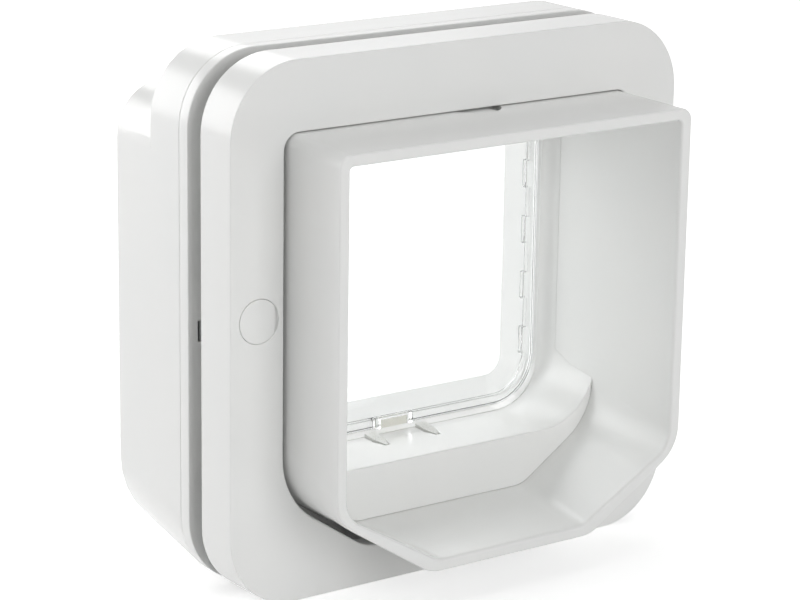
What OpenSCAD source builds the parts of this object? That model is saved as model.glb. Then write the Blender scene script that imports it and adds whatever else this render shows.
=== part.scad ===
// Cat flap for a door leaf: an outer frame, an inner unit with a hooded tunnel that passes
// through the door and out of the frame, and a clear flap that swings both ways in the tunnel.
// Millimetres. X is to the right seen from outdoors, Y goes from outdoors into the house, Z is up.
// The part is drawn from the middle of the outer frame's front face, and placed() moves it so
// that the origin is the middle of its box on the plane that it stands on.

/* [Outer frame] */
// Width and height of the outer frame and of the inner unit
frame_size = 210; // [196:1:230]
// Corner radius of the outer frame and of the inner unit
frame_corner_r = 29; // [22:1:38]
// Depth of the outer frame, from its face to the door
frame_depth = 20.7; // [17:0.1:28]
// Wall of the outer frame
frame_wall = 3; // [2:0.5:4]
// Rounding of the edge round the hood's opening
opening_edge_r = 0.8; // [0.4:0.1:1.2]
// Gap between the hood and the opening, at its sides
opening_gap = 1.6; // [1.5:0.1:2]
// How far the opening lies below the hood, so that its gap is smaller at the top
opening_drop = 1.3; // [1:0.1:1.3]
// Depth of the collar round the opening
collar_depth = 9; // [5:0.5:14]

/* [Screw caps and screws] */
// Screw axis, above the middle of the frame
screw_z = 8.3; // [0:0.1:20]
// Diameter of the round screw cap
cap_d = 17; // [14:0.5:18]
// Distance from the cap's centre to its flat
cap_flat = 6.8; // [5.5:0.1:7.5]
// Thickness of the screw cap
cap_thick = 1.6; // [1:0.1:2]
// Diameter of the screw's shank
screw_d = 4; // [3:0.5:5]
// Diameter of the screw's head
screw_head_d = 8.4; // [7:0.2:9]
// Height of the screw's head
screw_head_h = 3; // [2:0.2:4]
// Length that the screw reaches into the inner unit
screw_bite = 11; // [8:1:12]

/* [Door] */
// Thickness of the door leaf that the frame and the inner unit clamp
door_gap = 9; // [5:0.5:30]

/* [Tunnel hood] */
// How far the hood stands out of the frame's face
hood_reach = 37; // [25:1:50]
// From the frame's edge to the side of the tunnel
tunnel_edge = 25; // [22:0.5:28]
// From the frame's edge to the top of the tunnel
tunnel_top_edge = 27.6; // [26:0.1:30]
// From the frame's edge to the bottom of the tunnel
tunnel_bottom_edge = 18.2; // [17:0.1:20]
// Wall of the tunnel
tunnel_wall = 3.4; // [2.5:0.1:4]
// Height of the sloping lower corners
slope_h = 25.3; // [21:0.1:29]
// Width of the sloping lower corners
slope_w = 37.5; // [32:0.5:42]
// Radius of the tunnel's top corners
tunnel_top_r = 5; // [4.6:0.2:8]
// Radius between side and sloping corner, at the frame
tunnel_side_r = 30; // [18:1:34]
// Radius between side and sloping corner, at the rim
rim_side_r = 17; // [10:1:24]
// Radius between sloping corner and floor
tunnel_floor_r = 16; // [10:1:24]
// How far the rim flares out to each side
rim_flare = 2.3; // [0.5:0.1:3]
// How far the rim's floor drops below the tunnel's
rim_drop = 3; // [0.5:0.1:5]
// How far the rim's top dips below the tunnel's
rim_dip = 0.9; // [0:0.1:2]
// Width of the rim's front face
rim_wall = 4.7; // [4:0.1:6]
// Width of the sloping lower corners at the rim
rim_slope_w = 43.5; // [37:0.5:47]
// Height of the rim's sloping corners inside
rim_inner_slope_h = 24.6; // [22:0.1:27]
// Width of the rim's sloping corners inside
rim_inner_slope_w = 42.6; // [38:0.1:46]
// Rounding of the rim's inner edge
rim_inner_r = 1.4; // [0.6:0.2:2]
// Rounding of the rim's outer edge
rim_outer_r = 0.8; // [0.4:0.1:1.2]
// Diameter of the round plug in the hood's top
plug_d = 22; // [16:1:26]
// Depth of the plug's seat
plug_seat = 1.6; // [1:0.1:2]
// How far the plug lies below the hood's top
plug_sink = 0.5; // [0.2:0.1:0.6]
// Distance from the plug's centre to its flat
plug_flat = 5.4; // [4:0.1:7]
// Centre of the plug, to the right of the middle
plug_x = 7.2; // [0:0.1:12]
// Centre of the plug, behind the frame's face
plug_y = 4.4; // [0:0.1:6]

/* [Sill and flap opening] */
// Height of the sill above the bottom of the tunnel
sill_h = 25.1; // [24:0.1:26.5]
// Front edge of the sill, behind the frame's face
sill_front = 11; // [8:0.5:15]
// Radius of the passage's lower corners
passage_r = 25; // [21:1:27]
// How far the passage's corners run out into the tunnel's walls at the front of the sill
passage_flare = 1.1; // [0.4:0.1:1.6]
// Wall under the sill and behind the apron
sill_wall = 2.2; // [1.6:0.1:2.6]
// How far the slope to the flap opening runs in from the tunnel's wall
funnel_in = 4.6; // [3.6:0.1:7.6]
// Radius of the flap opening's lower corners
flap_opening_r = 20; // [15:1:22]
// Length of the slope from the tunnel's wall to the flap opening
funnel_len = 6.5; // [5:0.1:7]
// Thickness of the flap frame
flap_frame_thick = 7.5; // [7:0.1:9]

/* [Flap] */
// Gap between the flap and its opening, at the sides
flap_side_gap = 0.8; // [0.6:0.1:1.2]
// Gap between the flap and the sill
flap_bottom_gap = 1.9; // [1.9:0.1:3]
// Hinge axis below the top of the tunnel
hinge_below_top = 14.9; // [13:0.1:17]
// Thickness of the clear panel
flap_thick = 2.2; // [1.8:0.1:2.4]
// Thickness of the panel's bead
bead_thick = 4; // [3.2:0.1:4]
// Width of the panel's bead
bead_w = 3.8; // [3:0.1:6]
// Distance from the panel's edge to the bead
bead_inset = 0.6; // [0.4:0.1:1.5]
// Width of the small steps along the bead
bead_step = 2.2; // [1:0.1:2.6]
// Height of the small steps
bead_step_h = 11.5; // [6:0.5:13]
// Spacing of the small steps
bead_step_pitch = 23.5; // [15:0.5:25]
// Diameter of the hinge rod
hinge_rod_d = 3; // [2.4:0.1:3.4]
// Diameter of the flap's hinge barrel
barrel_d = 6.4; // [5.6:0.1:6.6]

/* [Magnets] */
// Length of the magnet bars
magnet_len = 13; // [8:1:16]
// Height of the flap's magnet
magnet_h = 3.6; // [3.2:0.1:5]
// Thickness of the flap's magnet
magnet_thick = 2.4; // [2:0.1:2.6]
// Wall of the clip that holds the flap's magnet
magnet_clip_wall = 0.8; // [0.6:0.1:1]
// Wall of the clip at the magnet's ends
magnet_clip_end = 2.5; // [1.5:0.1:3]
// Height of the magnet under the sill
sill_magnet_h = 3.4; // [3:0.1:4]

/* [Lock] */
// Distance of each catch from the middle
catch_x = 12.5; // [11.8:0.1:16]
// Width of a catch
catch_w = 5; // [4:0.1:6]
// Length of a catch, from its tip to its back
catch_len = 12; // [9:0.5:13]
// Height of a catch above the sill when it is down
catch_proud = 1.5; // [1.2:0.1:1.5]
// How far the catches rise to lock the flap
catch_lift = 3.4; // [2.5:0.1:3.5]
// Thickness of the bar that carries the catches
catch_bar_thick = 2.4; // [2:0.1:2.6]
// Diameter of the solenoid
solenoid_d = 11; // [9:0.5:12]
// Diameter of the solenoid's plunger
plunger_d = 4.4; // [3.5:0.1:5]

/* [Inner unit] */
// Depth of the inner front plate
plate_depth = 6; // [5:0.1:8]
// Depth of the inner unit's full-size band, with the front plate
flange_depth = 26.7; // [24:0.1:32]
// Depth of the smaller band behind it
back_depth = 26.6; // [25:0.1:34]
// Step from the full-size band to the rear band, at the top
back_top_step = 19.5; // [13:0.5:21]
// Step from the full-size band to the rear band, at the bottom
back_bottom_step = 5.5; // [1:0.5:10]
// Radius of the rear band's top corners
back_top_r = 21; // [15:1:26]
// Radius of the rear band's bottom corners
back_bottom_r = 36; // [28:1:44]
// Rounding of the rear edge
back_edge_r = 2.4; // [1:0.2:2.6]
// Wall of the inner unit
housing_wall = 2.5; // [2:0.1:3]
// From the frame's edge to the side of the mouth in the house
mouth_edge = 22.3; // [22:0.1:30]
// How far the mouth's top rises towards the house
mouth_top_rise = 1.5; // [0.5:0.1:2.5]
// How far the mouth's floor rises above the sill
mouth_floor_rise = 1.5; // [0.7:0.1:1.9]
// Radius of the mouth's corners at the back
mouth_r = 8; // [6:1:16]
// Wall of the mouth
mouth_wall = 1.8; // [1.4:0.1:2]
// Length of the small slot in the plate's door side
slot_len = 8.3; // [5:0.1:12]

/* [Electronics and batteries] */
// Diameter of a battery
cell_d = 14; // [13.4:0.1:14.2]
// Length of a battery
cell_len = 50.5; // [49:0.1:50.5]
// Wall of the battery tray
tray_wall = 1.1; // [0.8:0.1:1.2]
// Thickness of the battery door
door_thick = 1.5; // [1.2:0.1:1.6]
// Diameter of the battery door's hinge barrel
door_barrel_d = 2.8; // [2.4:0.1:2.8]
// Diameter of the battery door's hinge pins
door_pin_d = 1.6; // [1.2:0.1:1.8]
// Diameter of the mode button
button_d = 8; // [6:0.2:9]
// Place of the mode button, to the right of the middle
button_x = 22; // [16:1:32]
// Travel of the mode button
button_travel = 0.8; // [0.5:0.1:1]
// Diameter of the indicator light
lens_d = 4; // [3:0.2:5]
// Length of the circuit board
board_len = 90; // [70:1:100]
// Thickness of the circuit board
board_thick = 1.6; // [1.2:0.1:2]
// Width of the aerial coil's winding
coil_w = 6; // [4:0.2:7]
// Height of the aerial coil's winding
coil_h = 3.6; // [2:0.2:4]
// Diameter of the housing screws
small_screw_d = 3; // [2.5:0.1:3.5]

/* [Fits] */
// Clearance between fixed pieces that slide together
fit_gap = 0.15; // [0.1:0.05:0.2]
// Clearance between pieces that are pressed together
press_gap = 0.03; // [0.02:0.01:0.05]
// Radial clearance of a hinge or a guided pin
running_gap = 0.05; // [0.03:0.01:0.08]
// Clearance between moving pieces
moving_gap = 0.4; // [0.3:0.05:0.5]

/* [Hidden] */
$fn = 64;
arc_steps = 8;

// One overrun serves all cuts
over = 1;

// Places along Y, counted from the frame's face
y_plate = frame_depth + door_gap;
y_seam = y_plate + plate_depth;
y_step = y_plate + flange_depth;
y_back = y_step + back_depth;
y_plate_back = y_plate + housing_wall;
y_tunnel_end = y_seam + 2 * fit_gap;
y_funnel_end = y_tunnel_end + funnel_len;
y_flap_frame_end = y_funnel_end + flap_frame_thick;
y_flap = y_funnel_end + moving_gap + bead_thick / 2;
y_catch_back = y_funnel_end - moving_gap;

// Places along X and Z, counted from the middle of the frame
half = frame_size / 2;
tunnel_hw = half - tunnel_edge;
tunnel_top = half - tunnel_top_edge;
tunnel_bottom = half - tunnel_bottom_edge;
tunnel_side_z = tunnel_bottom - slope_h;
tunnel_floor_x = tunnel_hw - slope_w;
rim_floor_x = tunnel_hw + rim_flare - rim_slope_w;
inner_hw = tunnel_hw - tunnel_wall;
screw_x = (half + tunnel_hw) / 2;
sill_z = tunnel_bottom - sill_h;
hinge_z = tunnel_top - hinge_below_top;
opening_hw = inner_hw - funnel_in;
opening_top = hinge_z + barrel_d / 2 + 2 * moving_gap;
opening_top_r = flap_side_gap + moving_gap / 2;
flap_hw = opening_hw - flap_side_gap;
flap_bottom = -sill_z + flap_bottom_gap;
back_top = half - back_top_step;
mouth_hw = half - mouth_edge;
mouth_top = opening_top + mouth_top_rise;
mouth_floor = sill_z - mouth_floor_rise;
screw_head_back = cap_thick + fit_gap + 2 * screw_head_h + fit_gap;
screw_end = y_seam + screw_bite;

// Points of an arc in the XZ plane
function arc_points(x, z, r, from, to) =
    [for (i = [0:arc_steps]) let (a = from + (to - from) * i / arc_steps)
        [x + r * cos(a), z + r * sin(a)]];

// Outline of a rectangle with its own radii at the top and at the bottom
function box_outline(hw, top, bottom, top_r, bottom_r) = concat(
    arc_points(hw - top_r, top - top_r, top_r, 0, 90),
    arc_points(top_r - hw, top - top_r, top_r, 90, 180),
    arc_points(bottom_r - hw, bottom_r - bottom, bottom_r, 180, 270),
    arc_points(hw - bottom_r, bottom_r - bottom, bottom_r, 270, 360));

// Outline of the tunnel: sides and floor are joined by sloping corners, each end rounded.
// grow moves the whole outline outwards, square to itself.
function tunnel_outline(hw, top, bottom, side_z, floor_x, top_r, side_r, floor_r, grow = 0) =
    let (slope = atan((bottom - side_z) / (hw - floor_x)),
         side_turn = 90 - slope,
         sz = -side_z - grow * tan(side_turn / 2),
         fx = floor_x + grow * tan(slope / 2),
         w = hw + grow,
         tr = top_r + grow,
         sr = side_r + grow,
         fr = floor_r + grow,
         side_c = sz + sr * tan(side_turn / 2),
         floor_c = fx - fr * tan(slope / 2))
    concat(
        arc_points(w - tr, top + grow - tr, tr, 0, 90),
        arc_points(tr - w, top + grow - tr, tr, 90, 180),
        arc_points(sr - w, side_c, sr, 180, 180 + side_turn),
        arc_points(-floor_c, fr - bottom - grow, fr, 180 + side_turn, 270),
        arc_points(floor_c, fr - bottom - grow, fr, -90, slope - 90),
        arc_points(w - sr, side_c, sr, slope - 90, 0));

// The tunnel's outline at the frame, grown by a given amount
function body_outline(grow = 0) = tunnel_outline(tunnel_hw, tunnel_top, tunnel_bottom,
    tunnel_side_z, tunnel_floor_x, tunnel_top_r, tunnel_side_r, tunnel_floor_r, grow);

// The hood's outline at a share of the way to its rim, where 1 is the rim
function hood_outline(share, grow = 0) = tunnel_outline(
    tunnel_hw + rim_flare * share,
    tunnel_top - rim_dip * share,
    tunnel_bottom + rim_drop * share,
    tunnel_side_z,
    tunnel_floor_x + (rim_floor_x - tunnel_floor_x) * share,
    tunnel_top_r,
    tunnel_side_r + (rim_side_r - tunnel_side_r) * share,
    tunnel_floor_r, grow);

// The rim's inner edge
function rim_inner_outline(grow = 0) =
    let (hw = tunnel_hw + rim_flare - rim_wall,
         bottom = tunnel_bottom + rim_drop - rim_wall)
    tunnel_outline(hw, tunnel_top - rim_dip - rim_wall, bottom, bottom - rim_inner_slope_h,
        hw - rim_inner_slope_w, tunnel_top_r - tunnel_wall, rim_side_r - rim_wall,
        tunnel_floor_r - rim_wall, grow);

// The opening in the outer frame: the tunnel's outline with a gap, a little lower than the hood
function opening_outline(grow = 0) = tunnel_outline(tunnel_hw, tunnel_top - opening_drop,
    tunnel_bottom + opening_drop, tunnel_side_z + opening_drop, tunnel_floor_x,
    tunnel_top_r, tunnel_side_r, tunnel_floor_r, opening_gap + grow);

// The passage over the sill. It reaches into the tunnel's walls by a flare, so the sill's liner
// runs out to an edge on them.
function passage_outline(flare = 0) = box_outline(inner_hw + flare, tunnel_top - tunnel_wall,
    sill_z, tunnel_top_r - tunnel_wall, passage_r);
function flap_outline() = box_outline(opening_hw, opening_top, sill_z, opening_top_r,
    flap_opening_r);

// The outline at a share of the way from the passage to the flap opening
function funnel_outline(share) =
    let (from = passage_outline(), to = flap_outline())
    [for (i = [0:len(from) - 1]) from[i] * (1 - share) + to[i] * share];

// The inner housing's outline at a place behind the seam, where its lower edge rises evenly
function housing_outline(y, top, top_r, grow) =
    let (share = (y - y_seam) / (y_back - y_seam))
    box_outline(half + grow, top + grow, half - back_bottom_step * share + grow, top_r + grow,
        frame_corner_r + (back_bottom_r - frame_corner_r) * share + grow);
function band_ring(y, grow = 0) = ring(housing_outline(y, half, frame_corner_r, grow), y);
function rear_ring(y, grow = 0) = ring(housing_outline(y, back_top, back_top_r, grow), y);

function ring(outline, y) = [for (p = outline) [p[0], y, p[1]]];

// Moves what is drawn from the middle of the frame's face to the part's own origin
module placed() {
    translate([0, -(y_back - hood_reach) / 2, half]) children();
}

// A flat shape in the XZ plane made solid from one Y to another
module slab(from, to) {
    translate([0, to, 0]) rotate([90, 0, 0]) linear_extrude(to - from) children();
}

// A block given by its lowest and highest corners
module block(low, high) {
    translate(low) cube(high - low);
}

// A solid skin through rings of points, closed by its first and last ring
module loft(rings) {
    n = len(rings[0]);
    last = len(rings) - 1;
    sides = [for (i = [0:last - 1], j = [0:n - 1]) let (k = (j + 1) % n)
        each [[i * n + j, i * n + k, (i + 1) * n + k], [i * n + j, (i + 1) * n + k, (i + 1) * n + j]]];
    front = [for (j = [0:n - 1]) n - 1 - j];
    back = [for (j = [0:n - 1]) last * n + j];
    polyhedron(points = [for (r = rings) each r], faces = concat([front], sides, [back]));
}

// A closed tube whose wall section runs through rings of points
module tube(rings) {
    n = len(rings[0]);
    m = len(rings);
    polyhedron(points = [for (r = rings) each r],
        faces = [for (i = [0:m - 1], j = [0:n - 1]) let (k = (j + 1) % n, o = (i + 1) % m)
            each [[i * n + j, i * n + k, o * n + k], [i * n + j, o * n + k, o * n + j]]]);
}

module rounded_square(size, r) {
    square([size, size - 2 * r], center = true);
    square([size - 2 * r, size], center = true);
    for (x = [-1, 1], z = [-1, 1])
        translate([x * (size / 2 - r), z * (size / 2 - r)]) circle(r);
}

// Places children on the screw axis of one side
module at_screw(side) {
    translate([side * screw_x, 0, screw_z]) children();
}

/* Outer frame */

boss_wall = 2.4;
pocket_depth = cap_thick + fit_gap;
pocket_d = cap_d + 2 * fit_gap;
head_bore_d = screw_head_d + 4 * fit_gap;
screw_bore_d = screw_d + 4 * fit_gap;

module outer_frame() {
    color("whitesmoke") placed() difference() {
        union() {
            difference() {
                slab(0, frame_depth) rounded_square(frame_size, frame_corner_r);
                slab(frame_wall, frame_depth + over)
                    rounded_square(frame_size - 2 * frame_wall, frame_corner_r - frame_wall);
            }
            slab(0, collar_depth) polygon(opening_outline(frame_wall));
            for (side = [-1, 1]) at_screw(side) {
                slab(0, pocket_depth + boss_wall) circle(pocket_d / 2 + boss_wall / 2);
                slab(0, frame_depth) circle(head_bore_d / 2 + boss_wall / 2);
            }
        }
        slab(-over, frame_depth + over) polygon(opening_outline());
        loft([for (a = [0:18:90])
            ring(opening_outline(opening_edge_r * (1 - sin(a))), opening_edge_r * (1 - cos(a)))]);
        for (side = [-1, 1]) at_screw(side) {
            slab(-over, pocket_depth) circle(pocket_d / 2);
            slab(-over, screw_head_back) circle(head_bore_d / 2);
            slab(0, frame_depth + over) circle(screw_bore_d / 2);
        }
    }
}

/* Screw caps and screws */

cap_stub_h = 3;

module screw_cap(side) {
    color("whitesmoke") placed() at_screw(side) difference() {
        union() {
            slab(0, cap_thick) circle(cap_d / 2);
            slab(0, cap_thick + cap_stub_h) circle(screw_head_d / 2);
        }
        scale([-side, 1, 1]) block([cap_flat, -over, -cap_d], [cap_d, cap_depth_cut(), cap_d]);
        slab(cap_thick, cap_thick + cap_stub_h + over) circle(screw_head_d / 2 - boss_wall / 2);
    }
}

function cap_depth_cut() = cap_thick + cap_stub_h + over;

module screw_cap_left() { screw_cap(-1); }
module screw_cap_right() { screw_cap(1); }

slot_w = 1.2;

module frame_screw(side) {
    color("silver") placed() at_screw(side) difference() {
        union() {
            slab(screw_head_back - screw_head_h, screw_head_back) circle(screw_head_d / 2);
            slab(screw_head_back - screw_head_h / 2, screw_end) circle(screw_d / 2);
        }
        for (turn = [0, 90]) rotate([0, turn, 0])
            block([-screw_d / 2, screw_head_back - screw_head_h - over, -slot_w / 2],
                [screw_d / 2, screw_head_back - screw_head_h / 2, slot_w / 2]);
    }
}

module frame_screw_left() { frame_screw(-1); }
module frame_screw_right() { frame_screw(1); }

/* Tunnel and hood */

tunnel_flange = 5;
flange_thick = 2.4;
flare_shares = [0, 0.06, 0.22, 0.48, 0.84];

module tunnel_hood() {
    y0 = -hood_reach;
    straight = hood_reach - rim_outer_r;
    n = len(flare_shares);
    outer = concat(
        [ring(body_outline(), y_tunnel_end),
         ring(body_outline(), y_plate_back + flange_thick),
         ring(body_outline(tunnel_flange), y_plate_back + flange_thick),
         ring(body_outline(tunnel_flange), y_plate_back),
         ring(body_outline(), y_plate_back)],
        [for (i = [0:n - 1]) ring(hood_outline(flare_shares[i]), -straight * i / n)],
        [for (a = [0:30:90]) ring(hood_outline(1, -rim_outer_r * (1 - cos(a))),
            y0 + rim_outer_r * (1 - sin(a)))]);
    inner = concat(
        [for (a = [0:30:90]) ring(rim_inner_outline(rim_inner_r * (1 - sin(a))),
            y0 + rim_inner_r * (1 - cos(a)))],
        [ring(body_outline(-tunnel_wall), sill_front),
         ring(body_outline(-tunnel_wall), y_tunnel_end)]);
    color("whitesmoke") placed() difference() {
        tube(concat(outer, inner));
        translate([plug_x, plug_y, tunnel_top - plug_seat]) cylinder(d = plug_d, h = plug_seat + over);
    }
}

// A round plug in the hood's top where it leaves the frame, with a flat to prise it out
module hood_plug() {
    r = plug_d / 2 - 3 * fit_gap;
    h = plug_seat - plug_sink;
    color("whitesmoke") placed() translate([plug_x, plug_y, tunnel_top - plug_seat]) difference() {
        cylinder(r = r, h = h);
        block([plug_flat, -plug_d, -over], [plug_d, plug_d, h + over]);
    }
}

/* Sill, apron and slope to the flap opening */

lock_side = 6.5;
lock_slope_w = 22;
lock_floor_x = tunnel_floor_x - lock_side;
lock_top_x = lock_floor_x + lock_slope_w;
lock_floor_z = tunnel_bottom - tunnel_wall - fit_gap - sill_wall;

module sill_liner() {
    color("whitesmoke") placed() difference() {
        union() {
            slab(sill_front, y_tunnel_end + over) polygon(body_outline(-tunnel_wall - press_gap));
            slab(y_tunnel_end, y_funnel_end) polygon(body_outline());
        }
        loft(concat([ring(passage_outline(passage_flare), sill_front - over)],
            [for (a = [0:15:90]) ring(funnel_outline(1 - cos(a)), y_tunnel_end + funnel_len * sin(a))],
            [ring(flap_outline(), y_funnel_end + over)]));
        lock_space(sill_front + sill_wall, y_funnel_end + over);
        for (side = [-1, 1]) catch_slot(side);
    }
}

// The hollow below the sill that holds the lock
module lock_space(from, to) {
    slab(from, to) polygon([
        [-lock_top_x, -sill_z - sill_wall], [-lock_floor_x, -lock_floor_z],
        [lock_floor_x, -lock_floor_z], [lock_top_x, -sill_z - sill_wall]]);
}

module catch_slot(side) {
    translate([side * catch_x, 0, -sill_z - sill_wall - over])
        linear_extrude(sill_wall + 2 * over) polygon(catch_plan(moving_gap, y_funnel_end + over));
}

// A catch seen from above, grown by a gap: it tapers from its back to its tip
function catch_plan(gap, back) =
    let (w = catch_w / 2 + gap,
         tip_w = catch_w * tip_share + gap,
         tip = y_catch_back - catch_len,
         waist = tip + catch_len * waist_share)
    [[-w, back], [-w, waist - gap], [-tip_w, tip - gap], [tip_w, tip - gap], [w, waist - gap],
     [w, back]];

/* Flap frame and hinge rod */

rod_end = 4;

module flap_frame() {
    color("gainsboro") placed() difference() {
        slab(y_funnel_end, y_flap_frame_end) polygon(body_outline());
        slab(y_funnel_end - over, y_flap_frame_end + over) polygon(flap_outline());
        translate([-opening_hw - rod_end, y_flap, hinge_z]) rotate([0, 90, 0])
            cylinder(d = hinge_rod_d, h = 2 * (opening_hw + rod_end));
        block([-magnet_len / 2 - fit_gap, y_flap - fit_gap,
               -sill_z - sill_wall - sill_magnet_h - fit_gap],
            [magnet_len / 2 + fit_gap, y_flap_frame_end + over, -sill_z - sill_wall]);
    }
}

module hinge_rod() {
    reach = opening_hw + rod_end - fit_gap;
    color("silver") placed() translate([-reach, y_flap, hinge_z]) rotate([0, 90, 0])
        cylinder(d = hinge_rod_d - fit_gap / 4, h = 2 * reach);
}

module sill_magnet() {
    color("dimgray") placed()
        block([-magnet_len / 2, y_flap, -sill_z - sill_wall - sill_magnet_h],
            [magnet_len / 2, y_flap_frame_end - fit_gap, -sill_z - sill_wall - fit_gap]);
}

/* Flap */

module flap_panel() {
    front = y_flap - bead_thick / 2;
    color("lightcyan", 0.45) placed() difference() {
        union() {
            slab(y_flap - flap_thick / 2, y_flap + flap_thick / 2)
                polygon(panel_outline(flap_hw, hinge_z, 0));
            slab(front, y_flap + bead_thick / 2) difference() {
                polygon(panel_outline(flap_hw - bead_inset, hinge_z, bead_inset));
                polygon(panel_outline(flap_hw - bead_inset - bead_w, hinge_z + over,
                    bead_inset + bead_w));
            }
            translate([-flap_hw, y_flap, hinge_z]) rotate([0, 90, 0])
                cylinder(d = barrel_d, h = 2 * flap_hw);
            bead_steps();
        }
        translate([-flap_hw - over, y_flap, hinge_z]) rotate([0, 90, 0])
            cylinder(d = hinge_rod_d + 2 * running_gap, h = 2 * (flap_hw + over));
        magnet_pocket(fit_gap);
    }
}

// The panel's outline, or that of the bead set in from its edge
function panel_outline(hw, top, inset) = box_outline(hw, top, -flap_bottom - inset,
    opening_top_r, flap_opening_r - flap_side_gap - inset);

// Small steps along the inner side of the bead
module bead_steps() {
    x = flap_hw - bead_inset - bead_w;
    count = floor((hinge_z - flap_bottom - 2 * flap_opening_r) / bead_step_pitch);
    for (side = [-1, 1], i = [0:count]) {
        z = flap_bottom + flap_opening_r + i * bead_step_pitch;
        block([side * x - (side > 0 ? bead_step : over / 2), y_flap - bead_thick / 2, z],
            [side * x + (side > 0 ? over / 2 : bead_step), y_flap + bead_thick / 2,
             z + bead_step_h]);
    }
}

module magnet_pocket(gap) {
    h = magnet_h + magnet_clip_wall;
    w = magnet_len / 2 + magnet_clip_end;
    block([-w - gap, y_flap - bead_thick / 2 - over, flap_bottom - over],
        [w + gap, y_flap + bead_thick / 2 + over, flap_bottom + h + gap]);
}

module flap_magnet() {
    color("tan") placed() block(
        [-magnet_len / 2, y_flap - bead_thick / 2 + fit_gap, flap_bottom + fit_gap],
        [magnet_len / 2, y_flap - bead_thick / 2 + fit_gap + magnet_thick, flap_bottom + magnet_h]);
}

// A clip round the magnet's ends, top and back
module magnet_clip() {
    w = magnet_len / 2 + magnet_clip_end;
    top = flap_bottom + magnet_h + magnet_clip_wall;
    front = y_flap - bead_thick / 2;
    color("lightcyan", 0.6) placed() difference() {
        block([-w, front, flap_bottom], [w, front + bead_thick, top]);
        block([-magnet_len / 2 - fit_gap / 4, front - over, flap_bottom - over],
            [magnet_len / 2 + fit_gap / 4, front + magnet_thick + 2 * fit_gap,
             flap_bottom + magnet_h + fit_gap / 4]);
    }
}

/* Lock */

stem_share = 0.62;
tip_share = 0.12;
waist_share = 0.5;
bar_top = -sill_z - sill_wall - catch_lift - moving_gap;
bar_half_x = catch_x + catch_w / 2;
plunger_y = y_funnel_end - moving_gap - solenoid_d / 2;
solenoid_top = bar_top - catch_bar_thick - moving_gap;

// A wedge that points outdoors, on a stem that goes down through the sill
module catch_claw(side) {
    back = y_catch_back;
    tip = y_catch_back - catch_len;
    stem = y_catch_back - catch_len * stem_share;
    sill = -sill_z;
    half_w = catch_w / 2;
    color("silver") placed() translate([side * catch_x, 0, 0]) intersection() {
        rotate([90, 0, 90]) translate([0, 0, -half_w]) linear_extrude(catch_w) polygon([
            [tip, sill], [back, sill + catch_proud], [back, bar_top], [stem, bar_top],
            [stem, sill - sill_wall], [tip, sill - sill_wall / 4]]);
        translate([0, 0, bar_top]) linear_extrude(sill + catch_proud + over - bar_top)
            polygon(catch_plan(0, back));
    }
}

module catch_left() { catch_claw(-1); }
module catch_right() { catch_claw(1); }

module catch_bar() {
    color("gray") placed() {
        block([-bar_half_x, plunger_y - plunger_d / 2, bar_top - catch_bar_thick],
            [bar_half_x, y_catch_back, bar_top]);
        translate([0, plunger_y, -lock_floor_z + catch_bar_thick])
            cylinder(d = plunger_d, h = bar_top - catch_bar_thick / 2 + lock_floor_z - catch_bar_thick);
    }
}

module lock_solenoid() {
    color("dimgray") placed() translate([0, plunger_y, -lock_floor_z]) difference() {
        cylinder(d = solenoid_d, h = solenoid_top + lock_floor_z);
        translate([0, 0, catch_bar_thick / 2])
            cylinder(d = plunger_d + 2 * running_gap, h = solenoid_top + lock_floor_z);
    }
}

/* Aerial coil round the flap frame */

module aerial_coil() {
    mid = (y_funnel_end + y_flap_frame_end) / 2;
    color("peru") placed() slab(mid - coil_w / 2, mid + coil_w / 2) difference() {
        polygon(body_outline(coil_h + fit_gap));
        polygon(body_outline(fit_gap));
    }
}

/* Inner front plate */

small_side_edge = 13.5;
small_top_edge = 25;
small_bottom_edge = 29;
small_boss_wall = 2.3;
small_head_lip = 1.3;
small_head_h = 1.4;
small_x = half - small_side_edge;
small_zs = [half - small_top_edge, small_bottom_edge - half];
small_boss_d = small_screw_d + 2 * small_boss_wall;
small_head_d = small_screw_d + 2 * small_head_lip;
slot_from_edge = 4.5;
slot_h = 1.6;
slot_z = -1.4;

module at_small_screws() {
    for (side = [-1, 1], z = small_zs) translate([side * small_x, 0, z]) children();
}

module inner_front_plate() {
    color("whitesmoke") placed() difference() {
        slab(y_plate, y_seam) rounded_square(frame_size, frame_corner_r);
        slab(y_plate_back, y_seam + over)
            rounded_square(frame_size - 2 * housing_wall, frame_corner_r - housing_wall);
        slab(y_plate - over, y_seam + over) polygon(body_outline(fit_gap));
        for (side = [-1, 1]) at_screw(side)
            slab(y_plate - over, y_seam + over) circle(screw_bore_d / 2);
        at_small_screws() {
            slab(y_plate - over, y_seam) circle(small_screw_d / 2 + fit_gap);
            slab(y_plate - over, y_plate + small_head_h + fit_gap) circle(small_head_d / 2 + fit_gap);
        }
        block([-half + slot_from_edge, y_plate - over, slot_z - slot_len / 2],
            [-half + slot_from_edge + slot_h, y_seam, slot_z + slot_len / 2]);
    }
}

module housing_screws() {
    color("silver") placed() at_small_screws() {
        slab(y_plate + fit_gap, y_plate + small_head_h + fit_gap) circle(small_head_d / 2);
        slab(y_plate + small_head_h, y_seam + screw_bite - over) circle(small_screw_d / 2);
    }
}

/* Inner housing */

screw_boss_wall = 3;
rib = 2.4;
board_behind = 8.4;
post_d = 5;
boss_d = screw_d + 2 * screw_boss_wall;
control_z = (back_top - housing_wall + mouth_top + mouth_wall) / 2;
y_inside_back = y_back - housing_wall;
board_y = y_inside_back - board_behind;
post_x = board_len / 2 - post_d;

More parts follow.
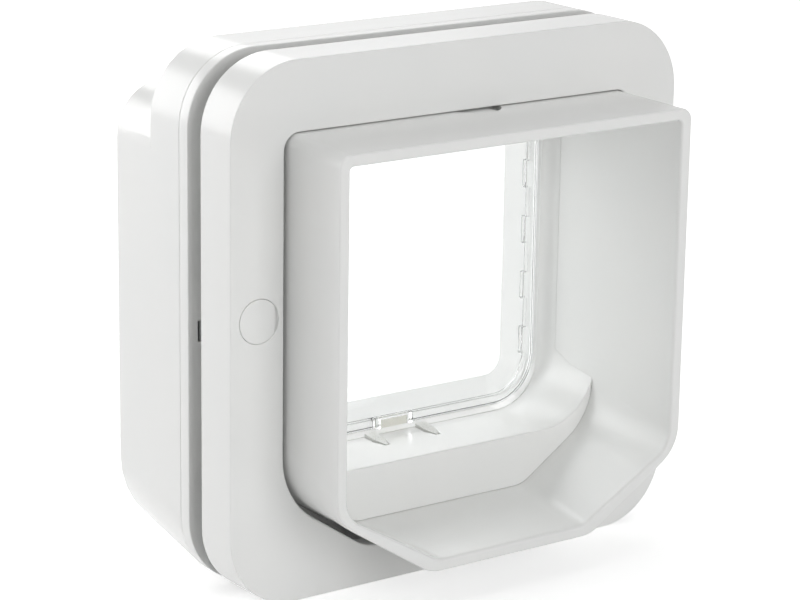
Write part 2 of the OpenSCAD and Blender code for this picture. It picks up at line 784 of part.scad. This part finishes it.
module inner_housing() {
    color("whitesmoke") placed() difference() {
        union() {
            housing_shell();
            loft([ring(mouth_front(mouth_wall), y_flap_frame_end + fit_gap),
                  ring(mouth_rear(mouth_wall), y_back - fit_gap)]);
            for (side = [-1, 1]) at_screw(side) screw_boss(side, boss_d);
            for (side = [-1, 1], z = small_zs) translate([side * small_x, 0, z])
                screw_boss(side, small_boss_d);
            for (side = [-1, 1]) translate([side * post_x, 0, control_z])
                slab(board_y + board_thick, y_inside_back + fit_gap) circle(d = post_d);
        }
        loft([ring(mouth_front(0), y_flap_frame_end - over),
              ring(mouth_front(0), y_flap_frame_end + fit_gap),
              ring(mouth_rear(0), y_back - back_edge_r / 2),
              ring(mouth_rear(back_edge_r / 3), y_back),
              ring(mouth_rear(back_edge_r / 3), y_back + over)]);
        for (side = [-1, 1]) at_screw(side)
            slab(y_seam - over, screw_end + fit_gap) circle(d = screw_d + running_gap);
        at_small_screws() slab(y_seam - over, y_seam + screw_bite)
            circle(d = small_screw_d + running_gap);
        translate([button_x, 0, control_z])
            slab(y_inside_back - over, y_back + over) circle(d = button_d + 2 * running_gap);
        translate([0, 0, control_z])
            slab(y_inside_back - over, y_back + over) circle(d = lens_d + fit_gap);
        battery_hatch();
    }
}

function mouth_front(grow) = box_outline(opening_hw + fit_gap + grow,
    opening_top + fit_gap + grow, mouth_floor + grow, opening_top_r + grow,
    flap_opening_r + grow);
function mouth_rear(grow) = box_outline(mouth_hw + grow, mouth_top + grow, mouth_floor + grow,
    opening_top_r + grow, mouth_r + grow);

// Full-size band, lower rear band with a rounded back edge, hollow inside
module housing_shell() {
    w = housing_wall;
    difference() {
        union() {
            loft([band_ring(y_seam), band_ring(y_step)]);
            loft(concat([rear_ring(y_seam + w, -press_gap),
                         rear_ring(y_step - press_gap, -press_gap),
                         rear_ring(y_step)],
                [for (a = [0:18:90]) rear_ring(y_back - back_edge_r * (1 - sin(a)),
                    -back_edge_r * (1 - cos(a)))]));
        }
        loft([band_ring(y_seam - over, -w), band_ring(y_step - w, -w)]);
        loft([rear_ring(y_seam - over, -w - press_gap), rear_ring(y_inside_back, -w - press_gap)]);
    }
}

module screw_boss(side, d) {
    slab(y_seam, y_seam + screw_bite + rib) circle(d = d);
    scale([side, 1, 1]) block([0, y_seam, -rib / 2],
        [half - housing_wall / 2 - (d == boss_d ? screw_x : small_x), y_seam + screw_bite, rib / 2]);
}

/* Battery tray, batteries, contacts and door */

tray_out = half - housing_wall - fit_gap;
tray_in = mouth_hw + mouth_wall + 2 * fit_gap;
cell_x = (tray_out + tray_in) / 2;
contact_room = 0.8;
tray_half_z = cell_len + contact_room;
rear_cell_y = y_inside_back - cell_d / 2 - fit_gap;
cell_y = [rear_cell_y - cell_d - 2 * fit_gap, rear_cell_y];
tray_back = y_inside_back - fit_gap;
tray_front = cell_y[0] - cell_d / 2 - fit_gap - tray_wall;

module battery_tray() {
    color("whitesmoke") placed() difference() {
        block([tray_in, tray_front, -tray_half_z - tray_wall],
            [tray_out, tray_back, tray_half_z + tray_wall]);
        block([tray_in + tray_wall, tray_front + tray_wall, -tray_half_z],
            [tray_out - tray_wall, tray_back + over, tray_half_z]);
    }
}

cell_cap_share = 0.38;
cell_cap_h_share = 0.08;

// A plain cell with its end cap
module cell(row, end) {
    cap_h = cell_d * cell_cap_h_share;
    low = end > 0 ? fit_gap : -cell_len - fit_gap;
    placed() translate([cell_x, cell_y[row], low]) {
        color("slategray") cylinder(d = cell_d, h = cell_len - cap_h);
        color("silver") cylinder(d = cell_d * cell_cap_share, h = cell_len);
    }
}

module battery_1() { cell(0, 1); }
module battery_2() { cell(0, -1); }
module battery_3() { cell(1, 1); }
module battery_4() { cell(1, -1); }

contact_thick = 0.5;
contact_w = 8;

module battery_contacts() {
    color("silver") placed() for (row = [0, 1], end = [-1, 1]) {
        z = end * (tray_half_z - contact_thick / 2);
        block([cell_x - contact_w / 2, cell_y[row] - contact_w / 2, z - contact_thick / 2],
            [cell_x + contact_w / 2, cell_y[row] + contact_w / 2, z + contact_thick / 2]);
    }
}

door_seat = 0.8;
hatch_in = tray_in + door_seat / 2;
hatch_out = tray_out - fit_gap;
door_bottom = -tray_half_z - 2 * tray_wall;
door_hinge_z = tray_half_z + tray_wall + door_barrel_d / 2;
door_hinge_y = y_back - door_barrel_d / 2;
door_pin_len = 0.9;
thumb_notch_d = 12;

// The seat of the battery door: a shallow recess with a notch for a fingertip, the opening for
// the cells and the hinge groove
module battery_hatch() {
    g = moving_gap;
    block([hatch_in, y_back - door_thick - fit_gap, door_bottom - g],
        [hatch_out, y_back + over, door_hinge_z]);
    translate([cell_x, 0, door_bottom - g])
        slab(y_back - door_thick, y_back + over) circle(d = thumb_notch_d);
    block([tray_in + tray_wall, y_inside_back - over, -tray_half_z],
        [tray_out - tray_wall, y_back + over, tray_half_z]);
    block([hatch_in, door_hinge_y - door_barrel_d / 2 - g, tray_half_z + tray_wall - g / 2],
        [hatch_out, y_back + over, door_hinge_z + door_barrel_d / 2 + 2 * g]);
    translate([hatch_in - door_pin_len, door_hinge_y, door_hinge_z]) rotate([0, 90, 0])
        cylinder(d = door_pin_d + 2 * running_gap, h = hatch_out - hatch_in + 2 * door_pin_len);
}

module battery_door() {
    g = moving_gap / 2;
    color("whitesmoke") placed() {
        block([hatch_in + g, y_back - door_thick, door_bottom],
            [hatch_out - g, y_back, door_hinge_z]);
        translate([hatch_in + g, door_hinge_y, door_hinge_z]) rotate([0, 90, 0])
            cylinder(d = door_barrel_d, h = hatch_out - hatch_in - 2 * g);
        translate([hatch_in - door_pin_len + g, door_hinge_y, door_hinge_z]) rotate([0, 90, 0])
            cylinder(d = door_pin_d, h = hatch_out - hatch_in + 2 * (door_pin_len - g));
    }
}

/* Circuit board, button and light */

chip_h = 2;
switch_w = 6;

module circuit_board() {
    board_h = back_top - housing_wall - mouth_top - mouth_wall - 2 * running_gap - board_thick;
    front = board_y + board_thick;
    switch_top = y_inside_back - rib - button_travel - fit_gap;
    placed() {
        color("seagreen") block([-board_len / 2, board_y, control_z - board_h / 2],
            [board_len / 2, front, control_z + board_h / 2]);
        color("black") for (x = [-board_len / 4, board_len / 8, board_len / 3])
            block([x - board_h / 3, board_y - chip_h, control_z - board_h / 3],
                [x + board_h / 3, board_y + board_thick / 2, control_z + board_h / 3]);
        color("dimgray") block(
            [button_x - switch_w / 2, front - board_thick / 2, control_z - switch_w / 2],
            [button_x + switch_w / 2, switch_top, control_z + switch_w / 2]);
    }
}

button_lip = 1;

module mode_button() {
    color("lightgray") placed() translate([button_x, 0, control_z]) {
        slab(y_inside_back - rib, y_back) circle(d = button_d);
        slab(y_inside_back - rib, y_inside_back - fit_gap / 2) circle(button_d / 2 + button_lip);
    }
}

module indicator_lens() {
    color("azure") placed() translate([0, 0, control_z]) {
        slab(board_y + board_thick, y_back) circle(d = lens_d);
    }
}

outer_frame();
screw_cap_left();
screw_cap_right();
frame_screw_left();
frame_screw_right();
tunnel_hood();
hood_plug();
sill_liner();
flap_frame();
hinge_rod();
sill_magnet();
aerial_coil();
lock_solenoid();
inner_front_plate();
inner_housing();
housing_screws();
circuit_board();
indicator_lens();
battery_tray();
battery_contacts();
battery_1();
battery_2();
battery_3();
battery_4();
flap_panel();
flap_magnet();
magnet_clip();
catch_bar();
catch_left();
catch_right();
mode_button();
battery_door();
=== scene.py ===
# %% [markdown]
# A cat flap in glossy white plastic, as it stands unpacked on a table: a square outer frame, an
# inner unit behind it, and a hooded tunnel through both with a clear flap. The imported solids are
# the fixed frame. This lesson gives them their finishes, softens the edges that a mould softens,
# and sets the light and the camera. Everything is in metres, so lengths are written as
# millimetres times MM.

# %% Load the fixed frame
import math
import bpy
import bmesh
from mathutils import Matrix, Vector
from mathutils.bvhtree import BVHTree


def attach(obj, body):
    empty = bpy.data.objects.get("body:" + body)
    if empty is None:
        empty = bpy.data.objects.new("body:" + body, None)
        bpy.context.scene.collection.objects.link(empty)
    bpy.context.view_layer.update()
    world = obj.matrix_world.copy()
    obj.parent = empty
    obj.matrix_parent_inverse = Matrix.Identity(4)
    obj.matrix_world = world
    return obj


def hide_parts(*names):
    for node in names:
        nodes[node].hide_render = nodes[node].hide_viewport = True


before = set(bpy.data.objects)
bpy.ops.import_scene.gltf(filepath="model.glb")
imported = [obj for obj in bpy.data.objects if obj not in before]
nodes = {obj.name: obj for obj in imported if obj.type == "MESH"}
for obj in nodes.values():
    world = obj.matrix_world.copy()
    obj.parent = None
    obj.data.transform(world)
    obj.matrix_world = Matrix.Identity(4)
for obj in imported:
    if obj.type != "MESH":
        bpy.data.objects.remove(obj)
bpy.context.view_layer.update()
MM = 0.001

# %% [markdown]
# Colours are written as the hex values that a paint chart gives. Blender works in linear light,
# so one function turns them over. A material is a small graph of nodes, and one helper adds a
# node, sets its values and links its inputs.


# %% Colours and nodes
def linear(hex_colour):
    """An sRGB hex colour as linear red, green, blue and alpha."""
    parts = [int(hex_colour[i:i + 2], 16) / 255 for i in (1, 3, 5)]
    return [c / 12.92 if c <= 0.04045 else ((c + 0.055) / 1.055) ** 2.4 for c in parts] + [1.0]


def add_node(tree, kind, settings=None, inputs=None, links=None):
    """Adds a node, sets its properties and socket values, and links sockets from other nodes."""
    made = tree.nodes.new(kind)
    for key, value in (settings or {}).items():
        setattr(made, key, value)
    for key, value in (inputs or {}).items():
        made.inputs[key].default_value = value
    for key, source in (links or {}).items():
        tree.links.new(source, made.inputs[key])
    return made


def new_material(name):
    """A new material, its tree and its Principled shader."""
    material = bpy.data.materials.new(name)
    material.use_nodes = True
    tree = material.node_tree
    shader = next(n for n in tree.nodes if n.type == "BSDF_PRINCIPLED")
    return material, tree, shader


WHITE, WHITE_SHADE = "#F6F6F4", "#F3F4F3"
print("white in linear light:", [round(v, 3) for v in linear(WHITE)])

# %% [markdown]
# Three steps come back in the materials: a noise whose size is given in millimetres, a base
# colour that shifts between two tones, and a roughness that varies by a share of its value. The
# noise uses Object coordinates, so it moves with the piece.

# %% Noise, two tones and uneven gloss
MIX_A, MIX_B, MIX_RESULT = 6, 7, 2  # the colour sockets of a Mix node


def noise(tree, size_mm, detail):
    """A cloudy factor from 0 to 1, with clouds of about the given size."""
    place = add_node(tree, "ShaderNodeTexCoord")
    cloud = add_node(tree, "ShaderNodeTexNoise",
                     inputs={"Scale": 1 / (size_mm * MM), "Detail": detail},
                     links={"Vector": place.outputs["Object"]})
    return cloud.outputs["Fac"]


def two_tones(tree, shader, factor, colour, shade):
    """Shifts the base colour between a colour and a shade of it."""
    tint = add_node(tree, "ShaderNodeMix", {"data_type": "RGBA"},
                    {MIX_A: linear(colour), MIX_B: linear(shade)}, {0: factor})
    tree.links.new(tint.outputs[MIX_RESULT], shader.inputs["Base Color"])


def uneven_gloss(tree, shader, factor, roughness, spread):
    """Varies the roughness by a share to either side of its value."""
    low, high = roughness * (1 - spread), roughness * (1 + spread)
    gloss = add_node(tree, "ShaderNodeMapRange", inputs={"To Min": low, "To Max": high},
                     links={"Value": factor})
    tree.links.new(gloss.outputs["Result"], shader.inputs["Roughness"])


print("shared steps: noise, two_tones, uneven_gloss")

# %% [markdown]
# The shells are injection-moulded ABS from a polished tool, so they are glossy and almost
# without texture. The colour shifts by a hair between warm and cool in wide clouds, as white
# plastic does. A fine grain changes the roughness a little and is also a very weak bump.

# %% White and grey ABS, polished
ABS_IOR = 1.52
CLOUD_MM, CLOUD_DETAIL = 35.0, 1.0
GRAIN_MM, GRAIN_DETAIL, GRAIN_SPREAD = 0.6, 2.0, 0.15
BUMP_STRENGTH, BUMP_HEIGHT_SHARE = 0.02, 0.05


def polished_abs(name, colour, shade, roughness):
    material, tree, shader = new_material(name)
    two_tones(tree, shader, noise(tree, CLOUD_MM, CLOUD_DETAIL), colour, shade)
    grain = noise(tree, GRAIN_MM, GRAIN_DETAIL)
    uneven_gloss(tree, shader, grain, roughness, GRAIN_SPREAD)
    height = GRAIN_MM * MM * BUMP_HEIGHT_SHARE
    fine = add_node(tree, "ShaderNodeBump",
                    inputs={"Strength": BUMP_STRENGTH, "Distance": height},
                    links={"Height": grain})
    tree.links.new(fine.outputs["Normal"], shader.inputs["Normal"])
    shader.inputs["IOR"].default_value = ABS_IOR
    return material


white_abs = polished_abs("white_abs_polished", WHITE, WHITE_SHADE, 0.24)
grey_abs = polished_abs("light_grey_abs", "#DCDCD8", "#D5D6D2", 0.28)
print("plastics:", white_abs.name, grey_abs.name)

# %% [markdown]
# The flap is clear polycarbonate, 2.2 mm thick, with a polished face. It takes all its look from
# what is behind it and from the bead and edges that bend the light, so it is a transmitting
# shader with hardly any colour. Along its edges light travels through centimetres of plastic, and
# there it looks grey, so a Volume Absorption shader dims what passes through the solid. The lamps
# shine through it as well: for their rays a Mix Shader puts a Transparent shader in its place,
# because bent light from lamps can't be traced well. Two values are not the material's own: the
# refraction is a little weaker than polycarbonate's, and the dimming was chosen.

# %% Clear polycarbonate
CLEAR_IOR = 1.5  # polycarbonate's own is about 1.585
HAZE_MM, HAZE_DETAIL, HAZE_SPREAD = 12.0, 2.0, 0.3
DIMMING_PER_M = 22.0  # chosen, and stronger than a clear plastic's own


def clear_pc(name, roughness):
    material, tree, shader = new_material(name)
    uneven_gloss(tree, shader, noise(tree, HAZE_MM, HAZE_DETAIL), roughness, HAZE_SPREAD)
    shader.inputs["Base Color"].default_value = linear("#FBFCFC")
    shader.inputs["IOR"].default_value = CLEAR_IOR
    shader.inputs["Transmission Weight"].default_value = 1.0
    lamp_light = add_node(tree, "ShaderNodeBsdfTransparent", inputs={"Color": linear("#F0F1F1")})
    path = add_node(tree, "ShaderNodeLightPath")
    mixed = add_node(tree, "ShaderNodeMixShader", links={
        0: path.outputs["Is Shadow Ray"], 1: shader.outputs["BSDF"], 2: lamp_light.outputs["BSDF"]})
    depth = add_node(tree, "ShaderNodeVolumeAbsorption",
                     inputs={"Color": linear("#7C8684"), "Density": DIMMING_PER_M})
    output = next(n for n in tree.nodes if n.type == "OUTPUT_MATERIAL")
    tree.links.new(mixed.outputs["Shader"], output.inputs["Surface"])
    tree.links.new(depth.outputs["Volume"], output.inputs["Volume"])
    return material


polycarbonate = clear_pc("clear_polycarbonate", 0.03)
print("clear plastic:", polycarbonate.name)

# %% [markdown]
# The metals and the inner pieces show little or not at all from outside, but they are finished
# as well: zinc-plated steel for screws and rod, pale magnet bars, enamelled copper for the
# aerial coil, a green board, and plain jackets on the cells. Each has a fine mottle of two tones.

# %% Metals, magnet, board and cells
MOTTLE_DETAIL, MOTTLE_SPREAD = 3.0, 0.2


def speckled(name, colour, shade, roughness, metallic, mottle_mm):
    material, tree, shader = new_material(name)
    mottle = noise(tree, mottle_mm, MOTTLE_DETAIL)
    two_tones(tree, shader, mottle, colour, shade)
    uneven_gloss(tree, shader, mottle, roughness, MOTTLE_SPREAD)
    shader.inputs["Metallic"].default_value = metallic
    return material


zinc_steel = speckled("zinc_plated_steel", "#C4C6C8", "#B2B5B8", 0.32, 1.0, 1.5)
magnet_bar = speckled("sintered_magnet", "#EFEEE6", "#E6E5DC", 0.45, 0.0, 0.8)
copper_wire = speckled("enamelled_copper", "#B8653A", "#A65630", 0.35, 1.0, 2.0)
circuit_green = speckled("solder_mask_green", "#1F6B3C", "#195A32", 0.38, 0.0, 3.0)
cell_jacket = speckled("shrink_film_grey", "#5A616C", "#4C535E", 0.30, 0.0, 5.0)
print("materials so far:", len(bpy.data.materials))

# %% [markdown]
# Every solid gets its finish, in place of the plain one that it was packed with.

# %% Finish every solid
FINISHES = {
    white_abs: ["outer_frame", "screw_cap_left", "screw_cap_right", "tunnel_hood", "hood_plug",
                "sill_liner", "flap_frame", "inner_front_plate", "inner_housing", "battery_door"],
    grey_abs: ["catch_left", "catch_right", "catch_bar", "mode_button", "battery_tray"],
    polycarbonate: ["flap_panel", "magnet_clip", "indicator_lens"],
    zinc_steel: ["frame_screw_left", "frame_screw_right", "hinge_rod", "lock_solenoid",
                 "battery_contacts", "housing_screws"],
    magnet_bar: ["flap_magnet", "sill_magnet"],
    copper_wire: ["aerial_coil"],
    circuit_green: ["circuit_board"],
    cell_jacket: ["battery_1", "battery_2", "battery_3", "battery_4"],
}
for material, names in FINISHES.items():
    for name in names:
        slots = nodes[name].data.materials
        slots.clear()
        slots.append(material)
print("finished nodes:", sum(len(names) for names in FINISHES.values()))

# %% [markdown]
# A moulding never has a knife-sharp edge: the tool leaves a radius of a few tenths of a
# millimetre, and that radius catches the light as a thin line. The solids have the large
# roundings. Each visible shell, and the clear flap, is copied, and its loose triangles are merged
# into flat faces. An edge that is sharper than 30 degrees gets a bevel weight if a ray that
# starts just outside it and points outwards meets no other part of the same piece.


# %% Find the edges to round
MERGE_MM, PROBE_MM = 0.002, 0.02
FLAT, ANY_SHAPE, SHARP = (math.radians(v) for v in (1, 179, 30))


def alone(piece):
    """Selects one object and makes it active."""
    bpy.ops.object.select_all(action="DESELECT")
    piece.select_set(True)
    bpy.context.view_layer.objects.active = piece


def copied(node):
    """A copy of a node's mesh with flat faces instead of triangles, in the same place."""
    alone(nodes[node])
    bpy.ops.object.duplicate()
    piece = bpy.context.view_layer.objects.active
    piece.name = node + "_moulded"
    world = piece.matrix_world.copy()
    piece.parent = None
    piece.matrix_world = world
    alone(piece)
    bpy.ops.object.mode_set(mode="EDIT")
    bpy.ops.mesh.select_all(action="SELECT")
    bpy.ops.mesh.remove_doubles(threshold=MERGE_MM * MM)
    bpy.ops.mesh.tris_convert_to_quads(face_threshold=FLAT, shape_threshold=ANY_SHAPE)
    bpy.ops.object.mode_set(mode="OBJECT")
    return piece


def weigh_edges(piece):
    """Gives the outward sharp edges a bevel weight, and returns their length."""
    shape = bmesh.new()
    shape.from_mesh(piece.data)
    tree = BVHTree.FromBMesh(shape)
    weight = shape.edges.layers.float.new("bevel_weight_edge")
    length = 0
    for edge in shape.edges:
        if len(edge.link_faces) == 2 and edge.is_convex and edge.calc_face_angle() > SHARP:
            out = (edge.link_faces[0].normal + edge.link_faces[1].normal).normalized()
            middle = (edge.verts[0].co + edge.verts[1].co) / 2
            if tree.ray_cast(middle + out * PROBE_MM * MM, out)[0] is None:
                edge[weight] = 1
                length += edge.calc_length()
    shape.to_mesh(piece.data)
    shape.free()
    return length


print("edges count as sharp above", round(math.degrees(SHARP)), "degrees")

# %% [markdown]
# A Bevel modifier rounds the weighted edges. Shading by angle keeps the other sharp edges, and
# weighted normals keep the large faces flat beside the small roundings.

# %% Soften the edges
EDGE_SEGMENTS, FLAT_FACE_WEIGHT = 2, 100
SMOOTH_BELOW = math.radians(35)


def softened(node, body, edge_mm):
    """Shows a copy of a node with its outward sharp edges rounded in the node's place."""
    piece = copied(node)
    length = weigh_edges(piece)
    bevel = piece.modifiers.new("edge", "BEVEL")
    bevel.width = edge_mm * MM
    bevel.segments = EDGE_SEGMENTS
    bevel.limit_method = "WEIGHT"
    bevel.use_clamp_overlap = False
    bevel.loop_slide = False
    bpy.ops.object.modifier_apply(modifier="edge")
    bpy.ops.object.shade_smooth_by_angle(angle=SMOOTH_BELOW)
    flatten = piece.modifiers.new("flatten", "WEIGHTED_NORMAL")
    flatten.weight = FLAT_FACE_WEIGHT
    flatten.keep_sharp = True
    bpy.ops.object.modifier_apply(modifier="flatten")
    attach(piece, body)
    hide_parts(node)
    print(node, "rounded edges in mm:", round(length / MM))


EDGES_MM = {
    "root": {"outer_frame": 0.4, "tunnel_hood": 0.15, "sill_liner": 0.6, "inner_front_plate": 0.4,
             "inner_housing": 0.4, "screw_cap_left": 0.25, "screw_cap_right": 0.25,
             "hood_plug": 0.2},
    "flap": {"flap_panel": 0.5},
}
for body, edges in EDGES_MM.items():
    for node, edge_mm in edges.items():
        softened(node, body, edge_mm)

# %% [markdown]
# The camera stands where the photographer's stood: a long lens, turned 36 degrees to the right of
# straight ahead and looking 15 degrees down, with a slight roll. These values were measured from
# the frame's outline, and the place follows from them.

# %% The camera
YAW, PITCH, ROLL = (math.radians(v) for v in (35.74, 15.44, 0.871))
CAMERA_MM = (-656.15, -894.77, 408.89)
FOCAL_PX, IMAGE_W_PX, SENSOR_MM = 2926.8, 800, 36.0
camera_data = bpy.data.cameras.new("camera")
camera_data.sensor_width = SENSOR_MM
camera_data.lens = FOCAL_PX * SENSOR_MM / IMAGE_W_PX
camera = bpy.data.objects.new("camera", camera_data)
bpy.context.scene.collection.objects.link(camera)
aim = Matrix.Rotation(-YAW, 4, "Z") @ Matrix.Rotation(math.pi / 2 - PITCH, 4, "X")
turn = aim @ Matrix.Rotation(ROLL, 4, "Z")
camera.matrix_world = Matrix.Translation(Vector(CAMERA_MM) * MM) @ turn
bpy.context.scene.camera = camera
print("lens in mm:", round(camera_data.lens, 1))

# %% [markdown]
# The part stands on a plain pale floor in front of white. Both are white only where they are
# seen: by the camera, in a reflection or through clear plastic. As a light on the object the
# world stays at a quarter, and the floor sends back only what falls on it, so it still takes the
# object's shadow.

# %% Floor and world
FLOOR_M, FLOOR_ROUGHNESS, FLOOR_GLOW = 6, 0.6, 0.5
WORLD_LIGHT, WORLD_SEEN = 0.25, 1.0


def seen_directly(tree):
    """1 for rays of the camera, of reflections and through clear plastic, and 0 for others."""
    path = add_node(tree, "ShaderNodeLightPath")
    seen = path.outputs["Is Camera Ray"]
    for ray in ("Is Glossy Ray", "Is Transmission Ray"):
        either = add_node(tree, "ShaderNodeMath", {"operation": "MAXIMUM"},
                          links={0: seen, 1: path.outputs[ray]})
        seen = either.outputs[0]
    return seen


bpy.ops.mesh.primitive_plane_add(size=FLOOR_M, location=(0, 0, 0))
floor = bpy.context.active_object
floor.name = "floor"
floor_material, tree, shader = new_material("pale_floor")
shader.inputs["Base Color"].default_value = linear("#F2F2F2")
shader.inputs["Roughness"].default_value = FLOOR_ROUGHNESS
shader.inputs["Emission Color"].default_value = (1, 1, 1, 1)
glow = add_node(tree, "ShaderNodeMath", {"operation": "MULTIPLY"}, {1: FLOOR_GLOW},
                {0: seen_directly(tree)})
tree.links.new(glow.outputs[0], shader.inputs["Emission Strength"])
floor.data.materials.append(floor_material)

world = bpy.data.worlds.new("studio")
bpy.context.scene.world = world
world.use_nodes = True
tree = world.node_tree
background = tree.nodes["Background"]
background.inputs["Color"].default_value = (1, 1, 1, 1)
level = add_node(tree, "ShaderNodeMapRange",
                 inputs={"To Min": WORLD_LIGHT, "To Max": WORLD_SEEN},
                 links={"Value": seen_directly(tree)})
tree.links.new(level.outputs["Result"], background.inputs["Strength"])
print("world as a light:", WORLD_LIGHT, "and as a background:", WORLD_SEEN)

# %% [markdown]
# White plastic against white only reads through its shading, so the light is uneven on purpose.
# Two large softboxes stand behind, one low on the left and one high on the right: they light the
# left sides and the tops, and shine through the clear flap into the tunnel. One on the left and
# one above help them, and one in front fills the faces. How the photograph was lit isn't known:
# the places were chosen, and the strengths were fitted to its greys at chosen points. The
# faces and sides come close, but the tunnel's inside and the gaps stay darker than there.

# %% Softboxes
SOFTBOX_M, DISTANCE_M, AIM_HEIGHT_M = 0.9, 1.6, 0.1
SOFTBOXES = {  # name: direction from the part, and watts
    "softbox_low_behind": ((-0.45, 0.85, 0.25), 8.6),
    "softbox_behind_right": ((0.3, 0.75, 0.6), 5.8),
    "softbox_left": ((-0.85, 0.45, 0.3), 4.6),
    "softbox_above": ((0, -0.1, 1), 4),
    "softbox_front": ((0, -0.95, 0.3), 8),
}
for name, (direction, watts) in SOFTBOXES.items():
    lamp_data = bpy.data.lights.new(name, "AREA")
    lamp_data.size = SOFTBOX_M
    lamp_data.energy = watts
    lamp = bpy.data.objects.new(name, lamp_data)
    bpy.context.scene.collection.objects.link(lamp)
    away = Vector(direction).normalized()
    lamp.location = away * DISTANCE_M + Vector((0, 0, AIM_HEIGHT_M))
    lamp.rotation_mode = "QUATERNION"
    lamp.rotation_quaternion = away.to_track_quat("Z", "Y")
print("softboxes:", len(SOFTBOXES), "watts in all:", sum(w for _, w in SOFTBOXES.values()))

# %% [markdown]
# The picture is kept plain: the Standard view, in which a colour shows about as it is written.

# %% View settings and the end
bpy.context.scene.view_settings.view_transform = "Standard"
